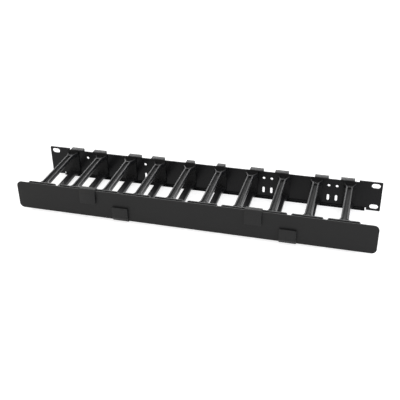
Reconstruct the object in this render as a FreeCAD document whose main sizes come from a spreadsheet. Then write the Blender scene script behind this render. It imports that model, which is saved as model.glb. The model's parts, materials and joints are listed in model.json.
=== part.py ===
"""Horizontal cable manager, one rack unit high, as a parametric FreeCAD document.

Millimetres, +X to the right, +Y away from the user, +Z up. The origin is the
middle of the mounting panel's rear face, which lies against the rack's rails.
The panel carries ten moulded fingers, and a flat cover hangs in front of them
on four clips, hooked over the bars along the fingers' heads.
"""
import FreeCAD, Part
import math
import os
import Sketcher
from FreeCAD import Placement, Rotation, Vector

doc = FreeCAD.newDocument("CableManager")

FINGERS = 10

# ---------------------------------------------------------------- sizes
SIZES = (
    # mounting panel, one folded sheet
    ("panel_width", 482.6),
    ("panel_height", 43.66),
    ("panel_sheet", 1.6),
    ("panel_corner", 1.2),
    ("relief_play", 2.5),          # lowered top edge past the outermost hooks
    ("relief_drop", 2.6),
    ("ear_width", 20.3),           # flat ear beyond the folded bottom lip
    ("lip_depth", 3.4),
    ("bend_inside", 1.0),
    ("notch_width", 1.6),          # bend relief at each end of the lip
    ("notch_height", 3.4),
    # rack slots and accessory holes
    ("slot_edge", 8.75),           # from the panel's end to a slot's middle
    ("slot_inset", 5.955),         # from the panel's top or bottom edge
    ("slot_long", 11.6),
    ("slot_tall", 7.0),
    ("tie_spread", 11.0),          # between the two columns of one group
    ("tie_rise", 9.3),             # holes above and slots below mid height
    ("tie_hole", 3.8),
    ("tie_slot_wide", 3.2),
    ("tie_slot_tall", 9.4),
    # fingers
    ("row_margin", 39.7),          # end finger to the panel's end, in a centred row
    ("row_shift", -3.4),           # the row sits a little to the left
    ("arm_top", 17.4),             # outer face of an arm above mid height
    ("arm_height", 5.4),
    ("arm_rear", 8.4),             # arm width behind, and in front
    ("arm_front", 9.4),
    ("rail", 1.8),
    ("groove_depth", 2.6),
    ("flare_width", 16.2),
    ("flare_land", 1.9),
    ("flare_length", 7.6),
    ("rib_gap", 9.2),              # from the base to the cross rib
    ("rib_sheet", 1.6),
    ("base_sheet", 2.0),
    ("base_foot_gap", 1.2),        # between the base and the panel's lip
    ("head_gap", 5.0),             # between the heads of two fingers
    ("head_height", 10.5),
    ("head_sheet", 1.4),
    ("tip_bevel", 2.4),            # bevelled rear corners of a head
    ("flange_sheet", 1.4),         # ends of a head, turned forward
    ("flange_step", 0.3),
    ("flange_gap", 0.5),
    ("head_neck", 23.0),           # width of the arm where it meets the head
    ("neck_length", 6.0),
    ("neck_round", 9.0),
    ("bar_round", 2.4),            # round-backed bar along the head's outer edge
    ("bar_flat", 0.2),
    ("bar_rise", 18.7),
    ("trough", 3.0),               # between the bar and the cover
    # hook over the panel's top edge, and the snap tongue below
    ("hook_width", 18.6),
    ("hook_narrow", 11.6),
    ("hook_right", 6.4),           # how far a hook stands off its finger's middle
    ("hook_left", 3.4),
    ("hook_crown", 2.07),          # hook over the panel's top edge
    ("wing_step", 1.2),            # base web below the hook's top
    ("hook_clearance", 0.1),
    ("hook_back", 4.4),
    ("hook_sheet", 1.8),
    ("hook_drop", 9.0),
    ("hook_nose", 2.4),
    ("tongue_width", 6.0),
    ("tongue_sheet", 2.0),
    ("tongue_drop", 10.0),
    ("tongue_clearance", 0.1),
    ("barb_height", 1.2),
    ("barb_length", 3.2),
    # cover and clips
    ("cover_reach", 106.6),        # from the panel's front face to the cover's
    ("cover_height", 40.0),
    ("cover_sheet", 1.5),
    ("cover_corner", 6.5),
    ("clip_width", 22.0),
    ("clip_leg", 19.5),
    ("clip_wall", 1.4),
    ("clip_standoff", 1.6),
    ("clip_seat", 4.6),            # how far the front leg lies on the cover
    ("clip_back", 1.45),
    ("clip_back_leg", 9.0),
    ("clip_roof", 1.35),
    ("clip_bevel", 5.2),
    ("clip_jaw", 1.0),             # jaw past the bar's axis
    ("clip_slot_play", 0.3),
    ("clip_round", 0.6),
    ("clip_bevel_round", 2.0),
    ("clip_play", 0.05),
    ("bar_clearance", 0.2),
    ("key_play", 0.4),
)

# Sizes that follow from the ones above, as formulas of the same sheet.
DERIVED = (
    ("finger_pitch", f"=(panel_width - 2 * row_margin) / {FINGERS - 1}"),
    ("finger_first", "=row_shift + row_margin - panel_width / 2"),
    ("panel_side", "=panel_width / 2"),
    ("panel_top", "=panel_height / 2"),
    ("relief_top", "=panel_top - relief_drop"),
    ("relief_half", "=hook_width / 2 - finger_first - hook_right + relief_play"),
    ("lip_half", "=panel_side - ear_width"),
    ("lip_top", "=panel_top - panel_sheet"),
    ("notch_side", "=lip_half + notch_width"),
    ("notch_top", "=panel_top - notch_height"),
    ("bend_outside", "=bend_inside + panel_sheet"),
    ("slot_x", "=panel_side - slot_edge"),
    ("slot_z", "=panel_top - slot_inset"),
    ("slot_radius", "=slot_tall / 2"),
    ("slot_run", "=(slot_long - slot_tall) / 2"),
    ("tie_dx", "=tie_spread / 2"),
    ("tie_radius", "=tie_hole / 2"),
    ("tie_slot_radius", "=tie_slot_wide / 2"),
    ("tie_run", "=(tie_slot_tall - tie_slot_wide) / 2"),
    ("tie_inner", "=finger_pitch * 2"),
    ("tie_outer", "=finger_pitch * 4"),
    ("arm_under", "=arm_top - arm_height"),
    ("flare_side", "=flare_width / 2"),
    ("flare_start", "=panel_sheet + base_sheet + flare_land"),
    ("flare_end", "=flare_start + flare_length"),
    ("arm_rear_side", "=arm_rear / 2"),
    ("arm_front_side", "=arm_front / 2"),
    ("neck_side", "=head_neck / 2"),
    ("cover_front", "=panel_sheet + cover_reach"),
    ("cover_back", "=cover_front - cover_sheet"),
    ("cover_top", "=cover_height / 2"),
    ("cover_side", "=panel_width / 2"),
    ("clip_back_in", "=cover_back - clip_play"),
    ("clip_back_out", "=clip_back_in - clip_back"),
    ("head_front", "=cover_back - trough"),
    ("bar_radius", "=bar_round / 2"),
    ("bar_y", "=head_front - bar_radius"),
    ("bar_crown", "=(bar_round - bar_flat) / 2"),
    ("bar_bevel", "=bar_radius * (sqrt(2) - 1)"),
    ("bar_back", "=bar_y - bar_radius"),
    ("bar_foot", "=bar_y - bar_bevel"),
    ("bar_waist", "=bar_rise - bar_bevel"),
    ("bar_under", "=bar_rise - bar_radius"),
    ("bar_top", "=bar_rise + bar_radius"),
    ("head_back", "=head_front - head_sheet"),
    ("head_under", "=bar_rise - head_height"),
    ("head_width", "=finger_pitch - head_gap"),
    ("head_side", "=head_width / 2"),
    ("tip_inner", "=head_side - tip_bevel"),
    ("tip_front", "=bar_back + tip_bevel"),
    ("flange_top", "=bar_top - flange_step"),
    ("flange_front", "=cover_back - flange_gap"),
    ("neck_start", "=head_back - neck_length"),
    ("rib_rear", "=panel_sheet + base_sheet + rib_gap"),
    ("rib_front", "=rib_rear + rib_sheet"),
    ("groove_rear_side", "=arm_rear_side - rail"),
    ("groove_front_side", "=arm_front_side - rail"),
    ("neck_slope", "=(neck_side - arm_front_side) / neck_length"),
    ("groove_neck", "=arm_front_side + neck_slope * (neck_length - rail)"),
    ("groove_neck_side", "=groove_neck - rail * sqrt(1 + neck_slope ^ 2)"),
    ("groove_end", "=head_back - rail"),
    ("groove_round", "=neck_round + rail"),
    ("pit_side", "=flare_side - rail"),
    ("flare_slope", "=(flare_side - arm_rear_side) / flare_length"),
    ("pit_neck", "=arm_rear_side + flare_slope * (flare_end - rib_rear)"),
    ("pit_front_side", "=pit_neck - rail * sqrt(1 + flare_slope ^ 2)"),
    ("base_front", "=panel_sheet + base_sheet"),
    ("base_low", "=lip_top - base_foot_gap"),
    ("hook_under", "=relief_top + hook_clearance"),
    ("hook_top", "=hook_under + hook_crown"),
    ("base_top", "=hook_top - wing_step"),
    ("hook_tip", "=hook_top - hook_drop"),
    ("nose_tip", "=hook_tip + hook_nose"),
    ("nose_top", "=nose_tip + hook_nose"),
    ("hook_inner", "=hook_back - hook_sheet"),
    ("tongue_top", "=tongue_drop - tongue_sheet"),
    ("barb_low", "=tongue_drop + barb_height"),
    ("barb_tip", "=tongue_clearance + barb_length"),
    ("window_side", "=tongue_width / 2 + tongue_clearance"),
    ("window_top", "=tongue_top - barb_height - tongue_clearance"),
    ("window_low", "=tongue_drop + tongue_clearance"),
    ("clip_front_in", "=cover_front + clip_play"),
    ("clip_leg_in", "=cover_front + clip_standoff"),
    ("clip_leg_out", "=clip_leg_in + clip_wall"),
    ("clip_in_top", "=cover_top + clip_play"),
    ("clip_top", "=clip_in_top + clip_roof"),
    ("clip_tip", "=cover_top - clip_leg"),
    ("clip_seat_low", "=cover_top - clip_seat"),
    ("clip_bevel_low", "=clip_top - clip_bevel"),
    ("clip_shelf", "=clip_seat_low - clip_standoff"),
    ("clip_back_low", "=cover_top - clip_back_leg"),
    ("jaw_radius", "=bar_radius + bar_clearance"),
    ("saddle", "=head_front + bar_clearance"),
    ("saddle_low", "=bar_rise - bar_round"),
    ("jaw_under", "=bar_rise + jaw_radius"),
    ("jaw_end", "=bar_y - clip_jaw"),
    ("key_width", "=head_gap - 2 * key_play"),
    ("clip_slot_side", "=head_gap / 2 + flange_sheet + clip_slot_play"),
    ("clip_slot_depth", "=clip_back_in - bar_y"),
)

sheet = doc.addObject("Spreadsheet::Sheet", "Sizes")
for row, (alias, content) in enumerate(SIZES + DERIVED, start=1):
    sheet.set(f"A{row}", alias)
    sheet.set(f"B{row}", str(content))
    sheet.setAlias(f"B{row}", alias)
doc.recompute()


def terms(words):
    """Split a sum such as "-cover_front + cover_sheet" into (sign, alias) pairs."""
    sign, found = 1, []
    for word in words.split():
        if word in "+-":
            sign = -1 if word == "-" else 1
            continue
        if word.startswith("-"):
            sign, word = -sign, word[1:]
        found.append((sign, word))
        sign = 1
    return found


def number(words):
    """Return the present value of a sum of aliases."""
    return sum(sign * float(sheet.get(alias)) for sign, alias in terms(words))


def bound(words):
    """Return the expression that ties a property to a sum of aliases."""
    signed = [("-" if sign < 0 else "+", alias) for sign, alias in terms(words)]
    return " ".join(f"{mark} Sizes.{alias}" for mark, alias in signed).lstrip("+ ")


# ---------------------------------------------------------------- sketches
def new_body(label):
    """Return an empty PartDesign body that carries one piece of the product."""
    body = doc.addObject("PartDesign::Body", label)
    body.Label = label
    return body


def origin_item(body, role):
    """Return the plane or axis of the body's own origin that has this role."""
    return next(item for item in body.Origin.OriginFeatures if item.Role == role)


def new_sketch(body, name, plane, lift=None):
    """Attach a sketch to one of the body's origin planes, lifted along its normal."""
    sketch = body.newObject("Sketcher::SketchObject", name)
    sketch.AttachmentSupport = [(origin_item(body, plane), "")]
    sketch.MapMode = "FlatFace"
    if lift:
        sketch.setExpression("AttachmentOffset.Base.z", bound(lift))
    return sketch


def constrain(sketch, kind, where, words):
    """Add one dimension and tie it to the sheet."""
    index = sketch.addConstraint(Sketcher.Constraint(kind, *where, number(words)))
    sketch.setExpression(f"Constraints[{index}]", bound(words))


def place(sketch, geometry, point, spot):
    """Fix a point of the sketch at an (x, y) pair of sums, where "" is zero."""
    for kind, axis, words in (("DistanceX", -2, spot[0]), ("DistanceY", -1, spot[1])):
        if words:
            constrain(sketch, kind, (-1, 1, geometry, point), words)
        else:
            sketch.addConstraint(Sketcher.Constraint("PointOnObject", geometry, point, axis))


def corner_arc(before, corner, after, radius):
    """Return the arc that rounds a corner, its two ends, and whether it turns left."""
    inward = (before - corner).normalize()
    outward = (after - corner).normalize()
    half = inward.getAngle(outward) / 2
    first = corner + inward * (radius / math.tan(half))
    last = corner + outward * (radius / math.tan(half))
    centre = corner + (inward + outward).normalize() * (radius / math.sin(half))
    left = (corner - before).cross(after - corner).z > 0
    start, end = (first, last) if left else (last, first)
    angles = [math.atan2(point.y - centre.y, point.x - centre.x) for point in (start, end)]
    return Part.ArcOfCircle(Part.Circle(centre, Vector(0, 0, 1), radius), *angles), first, last, left


def outline(sketch, corners):
    """Draw a closed outline through corners (x, y) or (x, y, radius), all tied to the sheet."""
    spots = [Vector(number(c[0]), number(c[1]), 0) for c in corners]
    count = len(corners)
    arcs = {}
    for i, corner in enumerate(corners):
        if len(corner) == 3:
            arcs[i] = corner_arc(spots[i - 1], spots[i], spots[(i + 1) % count], number(corner[2]))
    lines = []
    for i in range(count):
        after = (i + 1) % count
        start = arcs[i][2] if i in arcs else spots[i]
        end = arcs[after][1] if after in arcs else spots[after]
        lines.append(sketch.addGeometry(Part.LineSegment(start, end), False))
    for i, corner in enumerate(corners):
        before, line = lines[i - 1], lines[i]
        if i not in arcs:
            sketch.addConstraint(Sketcher.Constraint("Coincident", before, 2, line, 1))
            place(sketch, line, 1, corner)
            continue
        arc_shape, _, _, left = arcs[i]
        arc = sketch.addGeometry(arc_shape, False)
        mark = sketch.addGeometry(Part.Point(spots[i]), True)
        for edge in (before, line):
            sketch.addConstraint(Sketcher.Constraint("PointOnObject", mark, 1, edge))
        sketch.addConstraint(Sketcher.Constraint("Tangent", before, 2, arc, 1 if left else 2))
        sketch.addConstraint(Sketcher.Constraint("Tangent", line, 1, arc, 2 if left else 1))
        constrain(sketch, "Radius", (arc,), corner[2])
        place(sketch, mark, 1, corner)
    return sketch


def circle(sketch, spot, radius):
    """Draw a circle about a spot, its radius tied to the sheet."""
    centre = Vector(*(number(words) if words else 0 for words in spot), 0)
    ring = sketch.addGeometry(Part.Circle(centre, Vector(0, 0, 1), number(radius)), False)
    constrain(sketch, "Radius", (ring,), radius)
    place(sketch, ring, 3, spot)


def slot(sketch, spot, run, radius, upright=False):
    """Draw a slot about a spot: two half circles whose centres lie run either side."""
    across, along = spot
    if upright:
        ends = ((across, f"{along} - {run}"), (across, f"{along} + {run}"))
    else:
        ends = ((f"{across} - {run}", along), (f"{across} + {run}", along))
    size = number(radius)
    centres = [Vector(number(x), number(z), 0) for x, z in ends]
    side = Vector(size, 0, 0) if upright else Vector(0, size, 0)
    turn = math.pi if upright else math.pi / 2
    arcs = []
    for k, centre in enumerate(centres):
        start = turn + math.pi * k
        ring = Part.Circle(centre, Vector(0, 0, 1), size)
        arcs.append(sketch.addGeometry(Part.ArcOfCircle(ring, start, start + math.pi), False))
    first, second = arcs
    if upright:
        side = -side
    one = sketch.addGeometry(Part.LineSegment(centres[0] - side, centres[1] - side), False)
    two = sketch.addGeometry(Part.LineSegment(centres[1] + side, centres[0] + side), False)
    for line, arc, line_end, arc_end in ((one, first, 1, 2), (one, second, 2, 1),
                                         (two, second, 1, 2), (two, first, 2, 1)):
        sketch.addConstraint(Sketcher.Constraint("Tangent", line, line_end, arc, arc_end))
    sketch.addConstraint(Sketcher.Constraint("Equal", first, second))
    constrain(sketch, "Radius", (first,), radius)
    for arc, end in zip(arcs, ends):
        place(sketch, arc, 3, end)


# ---------------------------------------------------------------- features
def feature(body, kind, name, sketch, length, grows=True, both=False, reversed_=False):
    """Add a pad or a pocket and check that the volume changed the way it should."""
    doc.recompute()
    before = body.Shape.Volume if body.Shape.Solids else 0.0
    item = body.newObject(kind, name)
    item.Profile = sketch
    item.setExpression("Length", bound(length))
    item.SideType = "Symmetric" if both else "One side"
    item.Reversed = reversed_
    doc.recompute()
    after = body.Shape.Volume
    if (after > before) != grows:
        raise RuntimeError(f"{body.Label}: {name} went from {before:.1f} to {after:.1f} mm3")
    return item


def pad(body, name, sketch, length, **options):
    """Extrude a sketch along its normal."""
    return feature(body, "PartDesign::Pad", name, sketch, length, **options)


def pocket(body, name, sketch, length, **options):
    """Cut a sketch away against its normal."""
    return feature(body, "PartDesign::Pocket", name, sketch, length, grows=False, **options)


def round_edges(body, name, radius, chosen):
    """Fillet the edges of the body's tip for which chosen(edge) is true."""
    doc.recompute()
    tip = body.Tip
    names = [f"Edge{i}" for i, edge in enumerate(tip.Shape.Edges, start=1) if chosen(edge)]
    if not names:
        raise RuntimeError(f"{body.Label}: no edge for {name}")
    item = body.newObject("PartDesign::Fillet", name)
    item.Base = (tip, names)
    item.setExpression("Radius", bound(radius))
    doc.recompute()
    return item


def along_x(edge, y=None, z=None):
    """Tell whether an edge runs along X at the given y and z."""
    ends = [vertex.Point for vertex in edge.Vertexes]
    if len(ends) != 2 or not edge.Curve.TypeId.endswith("GeomLine"):
        return False
    direct = ends[1] - ends[0]
    level = all(abs(end.y - y) < 0.01 and abs(end.z - z) < 0.01 for end in ends)
    return level and abs(direct.y) + abs(direct.z) < 0.01


# ---------------------------------------------------------------- mounting panel
def mounting_panel():
    """Fold the panel: flat ears, a lowered top edge and a stiffening lip below."""
    body = new_body("rear_panel")
    face = outline(new_sketch(body, "panel_face", "XZ_Plane"), (
        ("-panel_side", "-panel_top", "panel_corner"),
        ("-notch_side", "-panel_top"),
        ("-notch_side", "-notch_top"),
        ("-lip_half", "-notch_top"),
        ("-lip_half", "-panel_top"),
        ("lip_half", "-panel_top"),
        ("lip_half", "-notch_top"),
        ("notch_side", "-notch_top"),
        ("notch_side", "-panel_top"),
        ("panel_side", "-panel_top", "panel_corner"),
        ("panel_side", "panel_top", "panel_corner"),
        ("relief_half", "panel_top"),
        ("relief_half", "relief_top"),
        ("-relief_half", "relief_top"),
        ("-relief_half", "panel_top"),
        ("-panel_side", "panel_top", "panel_corner"),
    ))
    pad(body, "panel_plate", face, "panel_sheet")
    lip = outline(new_sketch(body, "lip_face", "XZ_Plane", "panel_sheet"), (
        ("-lip_half", "-panel_top"),
        ("lip_half", "-panel_top"),
        ("lip_half", "-lip_top"),
        ("-lip_half", "-lip_top"),
    ))
    pad(body, "panel_lip", lip, "lip_depth")
    low, fold = -number("panel_top"), -number("lip_top")
    front, edge_half = -number("panel_sheet"), number("lip_half")
    round_edges(body, "bend_inner", "bend_inside", lambda edge: along_x(edge, front, fold))
    round_edges(body, "bend_outer", "bend_outside",
                lambda edge: along_x(edge, 0, low) and edge.Length > edge_half)

    slots = new_sketch(body, "rack_slots", "XZ_Plane")
    for across in ("-slot_x", "slot_x"):
        for along in ("-slot_z", "slot_z"):
            slot(slots, (across, along), "slot_run", "slot_radius")
    pocket(body, "rack_slot_cut", slots, "panel_sheet", reversed_=True)

    ties = new_sketch(body, "tie_holes", "XZ_Plane")
    for column in ("- tie_outer", "- tie_inner", "+ tie_inner - tie_dx", "+ tie_inner + tie_dx",
                   "+ tie_outer - tie_dx", "+ tie_outer + tie_dx"):
        across = f"row_shift {column}"
        circle(ties, (across, "tie_rise"), "tie_radius")
        slot(ties, (across, "-tie_rise"), "tie_run", "tie_slot_radius", upright=True)
    pocket(body, "tie_hole_cut", ties, "panel_sheet", reversed_=True)

    first = outline(new_sketch(body, "tongue_window", "XZ_Plane"), (
        ("finger_first - window_side", "-window_low"),
        ("finger_first + window_side", "-window_low"),
        ("finger_first + window_side", "-window_top"),
        ("finger_first - window_side", "-window_top"),
    ))
    window = pocket(body, "tongue_window_cut", first, "panel_sheet", reversed_=True)
    row = body.newObject("PartDesign::LinearPattern", "tongue_window_row")
    row.Originals = [window]
    row.Direction = (first, ["H_Axis"])
    row.Occurrences = FINGERS
    row.setExpression("Length", f"Sizes.finger_pitch * {FINGERS - 1}")
    body.Tip = row
    return body


# ---------------------------------------------------------------- fingers
def mirrored(points):
    """Close an outline that is the same on both sides of the sketch's vertical axis."""
    other = [("-" + x, *rest) for x, *rest in points]
    return tuple(points) + tuple(reversed(other))


def finger(index, hook_width, hook_centre):
    """Mould one finger: two arms with T heads on a base that hooks and snaps on the panel.

    The upper arm is drawn and mirrored. Its outline flares at the base and
    again at the head, and a groove between two rails runs along its outer side.
    The head is a wall below a bar, with both ends turned forward to the cover.
    """
    body = new_body(f"finger_{index + 1:02d}")
    arm = outline(new_sketch(body, "arm_plan", "XY_Plane", "arm_under"), mirrored((
        ("flare_side", "-panel_sheet"),
        ("flare_side", "-flare_start"),
        ("arm_rear_side", "-flare_end"),
        ("arm_front_side", "-neck_start", "neck_round"),
        ("neck_side", "-head_back"),
    )))
    pad(body, "arm", arm, "arm_height")
    groove = outline(new_sketch(body, "groove_plan", "XY_Plane", "arm_top"), mirrored((
        ("groove_rear_side", "-rib_front"),
        ("groove_front_side", "-neck_start", "groove_round"),
        ("groove_neck_side", "-groove_end"),
    )))
    pocket(body, "groove", groove, "groove_depth")
    pit = outline(new_sketch(body, "pit_plan", "XY_Plane", "arm_top"), mirrored((
        ("pit_side", "-base_front"),
        ("pit_side", "-flare_start"),
        ("pit_front_side", "-rib_rear"),
    )))
    pocket(body, "pit", pit, "groove_depth")

    head = outline(new_sketch(body, "head_section", "YZ_Plane"), (
        ("-head_front", "head_under"),
        ("-head_back", "head_under"),
        ("-head_back", "bar_under"),
        ("-bar_foot", "bar_under"),
        ("-bar_back", "bar_waist"),
        ("-bar_back", "bar_top", "bar_crown"),
        ("-head_front", "bar_top", "bar_crown"),
    ))
    pad(body, "head", head, "head_width", both=True)
    for name, side, inward in (("left_flange", "-head_side", False), ("right_flange", "head_side", True)):
        flange = outline(new_sketch(body, f"{name}_section", "YZ_Plane", side), (
            ("-flange_front", "head_under"),
            ("-head_back", "head_under"),
            ("-head_back", "flange_top"),
            ("-flange_front", "flange_top"),
        ))
        pad(body, name, flange, "flange_sheet", reversed_=inward)
    tips = new_sketch(body, "head_tips", "XY_Plane", "bar_top")
    for side in ("", "-"):
        outline(tips, (
            (f"{side}tip_inner", "-bar_back"),
            (f"{side}head_side", "-bar_back"),
            (f"{side}head_side", "-tip_front"),
        ))
    pocket(body, "head_tip_cut", tips, "head_height + bar_radius")

    lower = body.newObject("PartDesign::Mirrored", "lower_arm")
    lower.TransformMode = "Whole shape"
    lower.MirrorPlane = (origin_item(body, "XY_Plane"), [""])
    body.Tip = lower

    base = outline(new_sketch(body, "base_face", "XZ_Plane", "panel_sheet"), mirrored((
        ("flare_side", "-base_low"),
        ("flare_side", "base_top"),
    )))
    pad(body, "base", base, "base_sheet")
    hook = outline(new_sketch(body, "hook_section", "YZ_Plane", hook_centre), (
        ("-base_front", "hook_under"),
        ("-base_front", "hook_top"),
        ("hook_back", "hook_top"),
        ("hook_back", "nose_tip"),
        ("hook_inner", "hook_tip"),
        ("hook_clearance", "nose_tip"),
        ("hook_inner", "nose_top"),
        ("hook_inner", "hook_under"),
    ))
    pad(body, "hook", hook, hook_width, both=True)

    tongue = outline(new_sketch(body, "tongue_section", "YZ_Plane"), (
        ("-panel_sheet", "-tongue_drop"),
        ("tongue_clearance", "-tongue_drop"),
        ("tongue_clearance", "-barb_low"),
        ("barb_tip", "-tongue_drop"),
        ("barb_tip", "-tongue_top"),
        ("-panel_sheet", "-tongue_top"),
    ))
    pad(body, "tongue", tongue, "tongue_width", both=True)
    body.setExpression("Placement.Base.x", f"Sizes.finger_first + {index} * Sizes.finger_pitch")
    return body


# ---------------------------------------------------------------- cover and clips
def cover():
    """Cut the flat cover with its four rounded corners."""
    body = new_body("cover")
    face = outline(new_sketch(body, "cover_face", "XZ_Plane", "cover_back"), (
        ("-cover_side", "-cover_top", "cover_corner"),
        ("cover_side", "-cover_top", "cover_corner"),
        ("cover_side", "cover_top", "cover_corner"),
        ("-cover_side", "cover_top", "cover_corner"),
    ))
    pad(body, "cover_plate", face, "cover_sheet")
    return body


def clip(label, gap, upside_down):
    """Mould one clip: it grips the cover's edge and reaches over the heads' bars.

    Its back leg straddles the turned ends of two heads, and a key under the
    jaw sits in the gap between them, gap pitches from the middle of the row.
    """
    body = new_body(label)
    section = outline(new_sketch(body, "clip_section", "YZ_Plane"), (
        ("-clip_leg_in", "clip_tip"),
        ("-clip_leg_out", "clip_tip", "clip_round"),
        ("-clip_leg_out", "clip_bevel_low", "clip_bevel_round"),
        ("-cover_front", "clip_top", "clip_round"),
        ("-jaw_end", "clip_top", "clip_round"),
        ("-jaw_end", "jaw_under"),
        ("-saddle", "jaw_under", "jaw_radius"),
        ("-saddle", "saddle_low"),
        ("-clip_back_out", "saddle_low"),
        ("-clip_back_out", "clip_back_low"),
        ("-clip_back_in", "clip_back_low"),
        ("-clip_back_in", "clip_in_top"),
        ("-clip_front_in", "clip_in_top"),
        ("-clip_front_in", "clip_seat_low"),
        ("-clip_leg_in", "clip_shelf"),
    ))
    pad(body, "clip_wrap", section, "clip_width", both=True)
    gate = outline(new_sketch(body, "flange_slot", "XZ_Plane", "clip_back_in"), mirrored((
        ("clip_slot_side", "clip_back_low"),
        ("clip_slot_side", "clip_in_top"),
    )))
    pocket(body, "flange_slot_cut", gate, "clip_slot_depth")
    key = outline(new_sketch(body, "key_section", "YZ_Plane"), (
        ("-saddle", "saddle_low"),
        ("-jaw_end", "saddle_low", "bar_radius"),
        ("-jaw_end", "jaw_under"),
        ("-saddle", "jaw_under"),
    ))
    pad(body, "key", key, "key_width", both=True)
    if upside_down:
        body.Placement = Placement(Vector(), Rotation(Vector(0, 1, 0), 180))
    body.setExpression("Placement.Base.x", f"Sizes.row_shift + {gap} * Sizes.finger_pitch")
    return body


# ---------------------------------------------------------------- assembly
def hook_of(index):
    """Return the hook's width and centre: paired fingers lean towards each other."""
    if index in (4, 5):
        return "hook_narrow", None
    return "hook_width", "hook_right" if index in (0, 2, 6, 8) else "-hook_left"


pieces = [mounting_panel()]
pieces += [finger(index, *hook_of(index)) for index in range(FINGERS)]
pieces.append(cover())
pieces += [clip("clip_top_left", -3, False), clip("clip_top_right", 2, False),
           clip("clip_bottom_left", -2, True), clip("clip_bottom_right", 3, True)]
doc.recompute()

for item in doc.Objects:
    if "Invalid" in item.State or "Error" in item.State:
        raise RuntimeError(f"{item.Label} did not recompute: {item.State}")
os.makedirs("parts", exist_ok=True)
for piece in pieces:
    shape = piece.Shape
    if shape.isNull() or not shape.isValid() or len(shape.Solids) != 1:
        raise RuntimeError(f"{piece.Label} is not one valid solid")
    shape.exportStep(f"parts/{piece.Label}.step")
    print(f"{piece.Label}: {shape.Volume / 1000:.2f} cm3")
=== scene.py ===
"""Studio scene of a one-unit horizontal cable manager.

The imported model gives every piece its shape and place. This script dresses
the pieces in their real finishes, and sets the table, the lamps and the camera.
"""

import json
import logging
import math
from dataclasses import dataclass
from enum import Enum
from typing import Any, Optional, Sequence, Union

import bpy
from mathutils import Matrix, Vector


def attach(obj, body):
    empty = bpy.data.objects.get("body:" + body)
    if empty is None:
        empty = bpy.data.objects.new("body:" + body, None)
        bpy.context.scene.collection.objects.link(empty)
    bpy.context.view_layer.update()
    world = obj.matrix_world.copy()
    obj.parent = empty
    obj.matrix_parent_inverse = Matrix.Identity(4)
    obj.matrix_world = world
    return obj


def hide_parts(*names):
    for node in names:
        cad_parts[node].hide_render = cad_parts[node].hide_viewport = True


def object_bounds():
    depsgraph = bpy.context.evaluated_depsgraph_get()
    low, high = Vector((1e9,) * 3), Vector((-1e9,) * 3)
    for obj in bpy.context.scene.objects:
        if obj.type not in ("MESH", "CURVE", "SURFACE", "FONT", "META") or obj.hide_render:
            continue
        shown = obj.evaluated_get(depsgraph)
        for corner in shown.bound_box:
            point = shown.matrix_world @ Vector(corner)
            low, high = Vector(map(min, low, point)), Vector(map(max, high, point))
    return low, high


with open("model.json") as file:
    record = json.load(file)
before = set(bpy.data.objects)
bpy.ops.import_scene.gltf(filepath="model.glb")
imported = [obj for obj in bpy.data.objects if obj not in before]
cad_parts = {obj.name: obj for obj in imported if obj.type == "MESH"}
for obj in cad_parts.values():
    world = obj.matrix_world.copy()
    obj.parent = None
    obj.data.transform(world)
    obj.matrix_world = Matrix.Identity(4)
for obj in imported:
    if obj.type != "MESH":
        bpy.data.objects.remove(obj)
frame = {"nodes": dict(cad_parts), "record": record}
CAD_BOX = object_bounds()

LOG = logging.getLogger("cable_manager")

Colour = tuple[float, float, float]
Point = tuple[float, float, float]

MM = 0.001
WHITE: Colour = (1.0, 1.0, 1.0)

# The colour sockets of a Mix node, which also has number and vector ones.
MIX_FIRST, MIX_SECOND, MIX_RESULT = 6, 7, 2

# How strongly every finish's height map bends the light.
BUMP_STRENGTH = 0.5

# Powder paint: patches of haze per metre, the grit's cells per swell of the
# orange peel, its height against the peel, and the swing of the roughness.
HAZE_SCALE = 14.0
GRIT_PER_SWELL = 0.45
GRIT_HEIGHT = 0.5
PAINT_SWING = 0.08

# Nylon: flow lines per metre, and what they and the grain add to the tone,
# the height and the roughness.
FLOW_SCALE = 260.0
FLOW_TONE = 0.3
FLOW_HEIGHT = 0.3
FLOW_SWING = 0.1
GRAIN_SWING = 0.08

# A face gets painted shade and grain roughness from this share of open sky down, at this slope.
OCCLUSION_START, OCCLUSION_GAIN = 0.92, 4.5

# Mouldings: how near two points are one, how flat two faces are one, how
# sharp an edge is rounded, and how blunt one is shaded smooth.
MERGE_DISTANCE = 0.001 * MM
FLAT_ANGLE = math.radians(0.5)
SHARP_ANGLE = math.radians(32)
SMOOTH_ANGLE = math.radians(40)

# The camera's sensor in millimetres, and the depth that it sees in metres.
SENSOR_WIDTH = 36.0
CLIP_NEAR, CLIP_FAR = 0.01, 50.0


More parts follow.
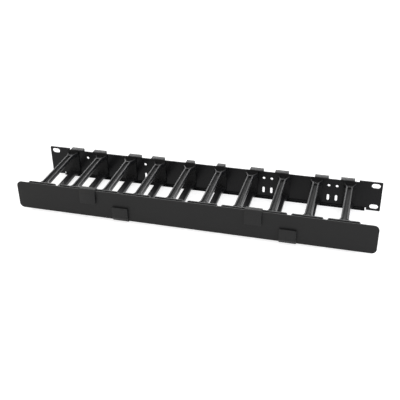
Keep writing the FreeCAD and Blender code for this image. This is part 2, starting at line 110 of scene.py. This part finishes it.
# ---------------------------------------------------------------- shader maths
class Wire:
    """A shader socket that takes part in Python arithmetic."""

    def __init__(self, graph: "Graph", socket: Optional[bpy.types.NodeSocket]) -> None:
        """Hold an output socket.

        Args:
            graph: The graph that owns the socket's node.
            socket: The output socket, or None from a node that has none.
        """
        self.graph = graph
        self.socket = socket

    def _math(self, operation: str, first: "Value", second: "Value", clamp: bool = False) -> "Wire":
        """Return the result of a Math node on two values."""
        settings = {"operation": operation, "use_clamp": clamp}
        return self.graph.node("ShaderNodeMath", settings, {0: first, 1: second})

    def __add__(self, other: "Value") -> "Wire":
        """Return self + other."""
        return self._math("ADD", self, other)

    def __radd__(self, other: "Value") -> "Wire":
        """Return other + self."""
        return self._math("ADD", other, self)

    def __sub__(self, other: "Value") -> "Wire":
        """Return self - other."""
        return self._math("SUBTRACT", self, other)

    def __rsub__(self, other: "Value") -> "Wire":
        """Return other - self."""
        return self._math("SUBTRACT", other, self)

    def __mul__(self, other: "Value") -> "Wire":
        """Return self * other."""
        return self._math("MULTIPLY", self, other)

    def __rmul__(self, other: "Value") -> "Wire":
        """Return other * self."""
        return self._math("MULTIPLY", other, self)

    def __gt__(self, other: "Value") -> "Wire":
        """Return 1 where self is above other, and 0 elsewhere."""
        return self._math("GREATER_THAN", self, other)

    def __lt__(self, other: "Value") -> "Wire":
        """Return 1 where self is below other, and 0 elsewhere."""
        return self._math("LESS_THAN", self, other)

    def or_more(self, other: "Value") -> "Wire":
        """Return the larger of self and other."""
        return self._math("MAXIMUM", self, other)

    def clamped(self) -> "Wire":
        """Return self, held between 0 and 1."""
        return self._math("MULTIPLY", self, 1.0, clamp=True)


Value = Union[Wire, float, int, Sequence[float]]


class Graph:
    """The node tree of one material or of the world, built node by node."""

    def __init__(self, owner: Union[bpy.types.Material, bpy.types.World]) -> None:
        """Empty the owner's node tree.

        Args:
            owner: The material or the world.
        """
        owner.use_nodes = True
        self.owner = owner
        self.tree = owner.node_tree
        self.tree.nodes.clear()

    def node(self, kind: str, settings: dict[str, Any], inputs: dict[Union[str, int], Value],
             output: Union[str, int] = 0) -> Wire:
        """Add one node.

        Args:
            kind: The node's type.
            settings: Properties set before the sockets, such as an operation.
            inputs: Values or wires by socket name or number.
            output: The output socket to return.

        Returns:
            The chosen output as a wire, empty from a node that has none.
        """
        made = self.tree.nodes.new(kind)
        for key, value in settings.items():
            setattr(made, key, value)
        for key, value in inputs.items():
            if isinstance(value, Wire):
                self.tree.links.new(value.socket, made.inputs[key])
            else:
                made.inputs[key].default_value = value
        return Wire(self, made.outputs[output] if made.outputs else None)

    def place(self) -> Wire:
        """Return the piece's own coordinates."""
        return self.node("ShaderNodeTexCoord", {}, {}, "Object")

    def axis(self, place: Wire, name: str) -> Wire:
        """Return one of a place's coordinates, X, Y or Z."""
        return self.node("ShaderNodeSeparateXYZ", {}, {"Vector": place}, name)

    def noise(self, place: Wire, scale: float, detail: float, roughness: float = 0.5) -> Wire:
        """Return a noise from 0 to 1.

        Args:
            place: The coordinates.
            scale: Waves per metre.
            detail: How many finer waves lie on the first.
            roughness: Strength of each finer wave against the one before.

        Returns:
            The noise as a wire.
        """
        return self.node("ShaderNodeTexNoise", {}, {
            "Vector": place, "Scale": scale, "Detail": detail, "Roughness": roughness}, "Fac")

    def tinted(self, colour: Colour, tone: Wire) -> Wire:
        """Return a colour darkened or lightened by a tone around 1.

        Args:
            colour: Linear colour.
            tone: The factor, as a wire.

        Returns:
            The product as a colour wire.
        """
        return self.node("ShaderNodeMix", {"data_type": "RGBA", "blend_type": "MULTIPLY"}, {
            "Factor": 1.0, MIX_FIRST: (*colour, 1.0), MIX_SECOND: tone}, MIX_RESULT)

    def surface(self, shader: Wire) -> bpy.types.Material:
        """Give the shader to the material's output.

        Args:
            shader: The final shader.

        Returns:
            The finished material.
        """
        self.node("ShaderNodeOutputMaterial", {}, {"Surface": shader})
        return self.owner


# ---------------------------------------------------------------- finishes
@dataclass(frozen=True)
class PowderCoat:
    """Baked powder paint on sheet steel: a fine orange peel under a faint haze.

    Attributes:
        name: The material's name.
        colour: Linear base colour.
        roughness: Middle roughness.
        peel_size: Width of one swell of the orange peel, in metres.
        peel_depth: Height of the orange peel, in metres.
        haze: How far the tone wanders from patch to patch.
        specular: Specular level of the coat.
        edge_radius: Radius that the paint gives the sheet's edges, in metres.
        edge_samples: Rays that look for an edge near a point.
    """

    name: str
    colour: Colour
    roughness: float
    peel_size: float
    peel_depth: float
    haze: float
    specular: float
    edge_radius: float = 0.0003
    edge_samples: int = 6

    def material(self) -> bpy.types.Material:
        """Build the paint.

        Returns:
            The finished material.
        """
        graph = Graph(bpy.data.materials.new(self.name))
        place = graph.place()
        broad = graph.noise(place, scale=HAZE_SCALE, detail=3.0)
        peel = graph.noise(place, scale=1 / self.peel_size, detail=2.0, roughness=0.6)
        grit = graph.node("ShaderNodeTexVoronoi", {"feature": "F1"}, {
            "Vector": place, "Scale": GRIT_PER_SWELL / self.peel_size}, "Distance")
        edges = graph.node("ShaderNodeBevel", {"samples": self.edge_samples}, {
            "Radius": self.edge_radius})
        bump = graph.node("ShaderNodeBump", {}, {
            "Strength": BUMP_STRENGTH, "Distance": self.peel_depth,
            "Height": peel + grit * GRIT_HEIGHT, "Normal": edges})
        swing = broad * PAINT_SWING + peel * PAINT_SWING
        return graph.surface(graph.node("ShaderNodeBsdfPrincipled", {}, {
            "Base Color": graph.tinted(self.colour, broad * (2 * self.haze) + (1 - self.haze)),
            "Roughness": swing + (self.roughness - PAINT_SWING),
            "Specular IOR Level": self.specular,
            "Normal": bump}))


@dataclass(frozen=True)
class MouldedNylon:
    """Injection-moulded nylon: an eroded mould grain and faint flow lines.

    Outer faces are smoothed by the cables that slide over them. Grooves and
    inner corners keep the full mould grain, so they are rougher, and so are
    the base web and the hook, which no cable touches. Grooves, inner corners,
    the base web and, less, the hook are also darkened in colour as painted shade.

    Attributes:
        name: The material's name.
        colour: Linear base colour.
        roughness: Middle roughness.
        grain_size: Width of one grain, in metres.
        grain_depth: Height of the grain, in metres.
        flow_stretch: How much longer than wide the flow lines are.
        specular: Specular level.
        groove_reach: How near a wall must stand to give a face painted shade and grain roughness,
            in metres.
        groove_samples: Rays that look for such a wall.
        groove_roughness: What the mould grain adds to the roughness in a groove.
        painted_shade_tone: Colour tone of a face in full painted shade, in a groove or on the web,
            against 1 for an open one.
        web_depth: How far in front of the rack's rails the web ends, in metres.
        web_top: Height of the web's upper end, in metres.
        hook_shade_and_matte: How much painted shade and roughness the hook above the web gets,
            against 1 for the web.
    """

    name: str
    colour: Colour
    roughness: float
    grain_size: float
    grain_depth: float
    flow_stretch: float
    specular: float
    groove_reach: float = 0.006
    groove_samples: int = 8
    groove_roughness: float = 0.5
    painted_shade_tone: float = 0.25
    web_depth: float = 0.0042
    web_top: float = 0.0203
    hook_shade_and_matte: float = 0.3

    def _groove_shade_and_grain(self, graph: Graph) -> Wire:
        """Return 0 on an open face and up to 1 deep in a groove: its painted shade and grain
        roughness.

        Args:
            graph: The material's graph.

        Returns:
            How much painted shade and grain roughness the face gets.
        """
        sky = graph.node("ShaderNodeAmbientOcclusion", {
            "only_local": True, "samples": self.groove_samples}, {
            "Distance": self.groove_reach}, "AO")
        return ((OCCLUSION_START - sky) * OCCLUSION_GAIN).clamped()

    def _web_shade_and_grain(self, graph: Graph, place: Wire) -> Wire:
        """Return 1 on the base web, less on the hook and 0 elsewhere, for painted shade and
        roughness.

        Args:
            graph: The material's graph.
            place: The piece's own coordinates.

        Returns:
            How much painted shade and roughness the face gets.
        """
        # Painted shade on the base web behind the arms, and less of it on the hook above.
        behind = graph.axis(place, "Y") > -self.web_depth
        below = graph.axis(place, "Z") < self.web_top
        return behind * (below * (1 - self.hook_shade_and_matte) + self.hook_shade_and_matte)

    def material(self) -> bpy.types.Material:
        """Build the nylon.

        Returns:
            The finished material.
        """
        graph = Graph(bpy.data.materials.new(self.name))
        place = graph.place()
        along = graph.node("ShaderNodeMapping", {}, {
            "Vector": place, "Scale": (1.0, 1 / self.flow_stretch, 1.0)})
        flow = graph.noise(along, scale=FLOW_SCALE, detail=4.0)
        grain = graph.noise(place, scale=1 / self.grain_size, detail=3.0, roughness=0.7)
        # Painted shade and grain: grooves, inner corners, the base web and the hook are darkened in
        # colour and made rougher.
        painted_shade_and_grain = self._groove_shade_and_grain(graph).or_more(self._web_shade_and_grain(graph, place))
        bump = graph.node("ShaderNodeBump", {}, {
            "Strength": BUMP_STRENGTH, "Distance": self.grain_depth,
            "Height": grain + flow * FLOW_HEIGHT})
        tone = flow * FLOW_TONE + (1 - FLOW_TONE / 2)
        swing = flow * FLOW_SWING + grain * GRAIN_SWING
        middle = self.roughness - (FLOW_SWING + GRAIN_SWING) / 2
        return graph.surface(graph.node("ShaderNodeBsdfPrincipled", {}, {
            # Painted shade: the colour is darkened in grooves and inner corners and on the web and
            # hook.
            "Base Color": graph.tinted(self.colour, tone * (painted_shade_and_grain * (self.painted_shade_tone - 1) + 1)),
            "Roughness": swing + painted_shade_and_grain * self.groove_roughness + middle,
            "Specular IOR Level": self.specular,
            "Normal": bump}))


class Finish(Enum):
    """The finishes of the product's pieces."""

    PANEL = PowderCoat(
        "panel_powder_coat", colour=(0.006, 0.006, 0.007), roughness=0.25,
        peel_size=0.0009, peel_depth=0.00002, haze=0.12, specular=0.19)
    COVER = PowderCoat(
        "cover_powder_coat", colour=(0.018, 0.018, 0.018), roughness=0.50,
        peel_size=0.0006, peel_depth=0.00004, haze=0.06, specular=0.24)
    FINGER = MouldedNylon(
        "finger_nylon", colour=(0.010, 0.010, 0.011), roughness=0.33,
        grain_size=0.0005, grain_depth=0.00003, flow_stretch=6.0, specular=0.40)
    CLIP = MouldedNylon(
        "clip_nylon", colour=(0.024, 0.024, 0.024), roughness=0.50,
        grain_size=0.0005, grain_depth=0.00003, flow_stretch=1.5, specular=0.24)


# ---------------------------------------------------------------- sub-assemblies
def dress(piece: bpy.types.Object, material: bpy.types.Material) -> None:
    """Give the whole piece one material.

    Args:
        piece: The mesh object.
        material: The material for every slot.
    """
    if not piece.material_slots:
        piece.data.materials.append(material)
    for holder in piece.material_slots:
        holder.material = material


def pieces_of(kind: str) -> list[str]:
    """Return the names of the CAD nodes of one kind, in order.

    Args:
        kind: Start of the nodes' names.

    Returns:
        The sorted names.
    """
    return sorted(name for name in frame["nodes"] if name.startswith(kind))


def body_of(node: str) -> str:
    """Return the name of the body that a CAD node rides on.

    Args:
        node: The node's name.

    Returns:
        The body's name.
    """
    bodies = frame["record"]["behaviour"]["bodies"]
    return next(body for body, members in bodies.items() if node in members)


@dataclass
class SheetPart:
    """A sheet-metal piece: the CAD shape stays, and gets its paint.

    Attributes:
        node: The CAD node's name.
        finish: The paint.
    """

    node: str
    finish: Finish

    def build(self) -> list[str]:
        """Paint the piece.

        Returns:
            The piece's name.
        """
        dress(frame["nodes"][self.node], self.finish.value.material())
        return [self.node]


@dataclass
class Mouldings:
    """Moulded pieces of one kind: each gets the small edge radii of its mould.

    Attributes:
        kind: Start of the CAD nodes' names.
        finish: The plastic.
        slot: The record's material slot; not used.
        radius: Edge radius in metres.
        segments: Facets across one rounded edge.
    """

    kind: str
    finish: Finish
    slot: str
    radius: float
    segments: int = 2

    def _copied(self, node: str) -> bpy.types.Object:
        """Copy a CAD node with its loose triangles merged into whole faces.

        Args:
            node: The node's name.

        Returns:
            The copy, alone in the selection.
        """
        piece = bpy.data.objects.new(f"{node}_moulding", frame["nodes"][node].data.copy())
        bpy.context.scene.collection.objects.link(piece)
        bpy.ops.object.select_all(action="DESELECT")
        piece.select_set(True)
        bpy.context.view_layer.objects.active = piece
        bpy.ops.object.mode_set(mode="EDIT")
        bpy.ops.mesh.select_all(action="SELECT")
        bpy.ops.mesh.remove_doubles(threshold=MERGE_DISTANCE)
        bpy.ops.mesh.dissolve_limited(angle_limit=FLAT_ANGLE)
        bpy.ops.object.mode_set(mode="OBJECT")
        return piece

    def _round(self, piece: bpy.types.Object) -> None:
        """Round the piece's sharp edges and shade it smooth between them.

        Args:
            piece: The active piece.
        """
        bevel = piece.modifiers.new("mould_radii", "BEVEL")
        bevel.width = self.radius
        bevel.segments = self.segments
        bevel.limit_method = "ANGLE"
        bevel.angle_limit = SHARP_ANGLE
        bevel.use_clamp_overlap = True
        bpy.ops.object.modifier_apply(modifier=bevel.name)
        bpy.ops.object.shade_smooth_by_angle(angle=SMOOTH_ANGLE)

    def build(self) -> list[str]:
        """Make the rounded pieces and let them stand for their CAD nodes.

        Returns:
            The names of the new pieces.
        """
        material = self.finish.value.material()
        made = []
        for node in pieces_of(self.kind):
            piece = self._copied(node)
            self._round(piece)
            dress(piece, material)
            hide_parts(node)
            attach(piece, body_of(node))
            made.append(piece.name)
        return made


# ---------------------------------------------------------------- studio
@dataclass
class Lamp:
    """One softbox.

    Attributes:
        name: The lamp's name.
        place: Where it stands, in metres.
        size: Width and height of the box, in metres.
        power: Radiant power in watts.
        colour: Linear colour.
        aim: The point it faces, in metres.
    """

    name: str
    place: Point
    size: tuple[float, float]
    power: float
    colour: Colour = WHITE
    aim: Point = (0.0, -0.05, 0.0)

    def build(self) -> None:
        """Hang the softbox and turn it to its aim."""
        data = bpy.data.lights.new(self.name, "AREA")
        data.shape = "RECTANGLE"
        data.size, data.size_y = self.size
        data.energy = self.power
        data.color = self.colour
        lamp = bpy.data.objects.new(self.name, data)
        bpy.context.scene.collection.objects.link(lamp)
        lamp.location = self.place
        facing = Vector(self.aim) - Vector(self.place)
        lamp.rotation_euler = facing.to_track_quat("-Z", "Y").to_euler()


SOFTBOXES = (
    Lamp("overhead_softbox", place=(0.1, 0.15, 1.5), size=(1.6, 1.2), power=12.0),
    Lamp("back_softbox", place=(-0.3, 1.5, 0.62), size=(1.8, 0.5), power=10.0),
    Lamp("left_softbox", place=(-1.3, -0.9, 0.7), size=(0.9, 0.9), power=3.2,
         colour=(1.0, 0.90, 0.78)),
    Lamp("right_softbox", place=(1.5, -0.4, 0.6), size=(0.9, 0.9), power=7.0,
         colour=(0.82, 0.86, 1.0), aim=(0.1, -0.05, 0.0)),
)


@dataclass
class Studio:
    """The pale table, the pale surround and the softboxes.

    Attributes:
        table_half: Half the width of the table, in metres.
        table_shade: Diffuse shade of the table.
        table_lift: Glow that only direct and mirror views of the table see.
        surround_light: Strength of the surround as a light.
        surround_seen: Strength of the surround as it is seen.
    """

    table_half: float = 6.0
    table_shade: float = 0.62
    table_lift: float = 0.72
    surround_light: float = 0.35
    surround_seen: float = 1.0

    def _seen(self, graph: Graph) -> Wire:
        """Return 1 for camera, mirror and glass rays and 0 for the others.

        Args:
            graph: The graph that uses it.

        Returns:
            The factor as a wire.
        """
        names = ("Is Camera Ray", "Is Glossy Ray", "Is Transmission Ray")
        camera, mirror, glass = (
            graph.node("ShaderNodeLightPath", {}, {}, name) for name in names)
        return camera.or_more(mirror).or_more(glass)

    def table(self) -> None:
        """Lay the table just under the product's lowest edge."""
        bpy.ops.object.select_all(action="DESELECT")
        bpy.ops.mesh.primitive_plane_add(
            size=2 * self.table_half, location=(0, 0, CAD_BOX[0].z))
        top = bpy.context.active_object
        top.name = "studio_table"
        graph = Graph(bpy.data.materials.new("studio_table"))
        diffuse = graph.node("ShaderNodeBsdfDiffuse", {}, {
            "Color": (self.table_shade,) * 3 + (1.0,)})
        glow = graph.node("ShaderNodeEmission", {}, {
            "Strength": self._seen(graph) * self.table_lift})
        both = graph.node("ShaderNodeAddShader", {}, {0: diffuse, 1: glow})
        dress(top, graph.surface(both))

    def surround(self) -> None:
        """Set the world: a plain light, seen as white."""
        world = bpy.data.worlds.new("surround")
        bpy.context.scene.world = world
        graph = Graph(world)
        span = self.surround_seen - self.surround_light
        light = graph.node("ShaderNodeBackground", {}, {
            "Color": (*WHITE, 1.0),
            "Strength": self._seen(graph) * span + self.surround_light})
        graph.node("ShaderNodeOutputWorld", {}, {"Surface": light})

    def build(self) -> None:
        """Set up the whole studio."""
        self.table()
        self.surround()
        for lamp in SOFTBOXES:
            lamp.build()
            LOG.info("lamp %s at %s", lamp.name, lamp.place)


@dataclass
class Viewpoint:
    """The camera.

    Attributes:
        place: Its place, in metres.
        azimuth: Degrees that it stands to the right of straight ahead.
        elevation: Degrees that it looks down.
        roll: Degrees that it leans.
        lens: Focal length in millimetres.
        shift: Sideways and upward shift of the frame.
    """

    place: Point = (0.21773, -0.83994, 0.47600)
    azimuth: float = 15.36
    elevation: float = 30.64
    roll: float = -0.892
    lens: float = 62.42
    shift: tuple[float, float] = (0.001, -0.0004)

    def build(self) -> None:
        """Set the camera up as the scene's own."""
        data = bpy.data.cameras.new("camera")
        data.lens = self.lens
        data.sensor_width = SENSOR_WIDTH
        data.shift_x, data.shift_y = self.shift
        data.clip_start, data.clip_end = CLIP_NEAR, CLIP_FAR
        camera = bpy.data.objects.new("camera", data)
        bpy.context.scene.collection.objects.link(camera)
        turn = (Matrix.Rotation(math.radians(self.azimuth), 4, "Z")
                @ Matrix.Rotation(math.radians(90 - self.elevation), 4, "X")
                @ Matrix.Rotation(math.radians(self.roll), 4, "Z"))
        camera.matrix_world = Matrix.Translation(self.place) @ turn
        bpy.context.scene.camera = camera


PARTS = (
    SheetPart("rear_panel", Finish.PANEL),
    SheetPart("cover", Finish.COVER),
    Mouldings("finger_", Finish.FINGER, slot="finger_plastic", radius=0.3 * MM),
    Mouldings("clip_", Finish.CLIP, slot="clip_plastic", radius=0.2 * MM),
)


def main() -> None:
    """Dress the product and set the studio."""
    logging.basicConfig(level=logging.INFO, format="%(message)s")
    bpy.context.scene.view_settings.view_transform = "Standard"
    for part in PARTS:
        for name in part.build():
            LOG.info("%s in %s", name, part.finish.name.lower())
    Studio().build()
    viewpoint = Viewpoint()
    viewpoint.build()
    LOG.info("camera at %s", viewpoint.place)


if __name__ == "__main__":
    main()
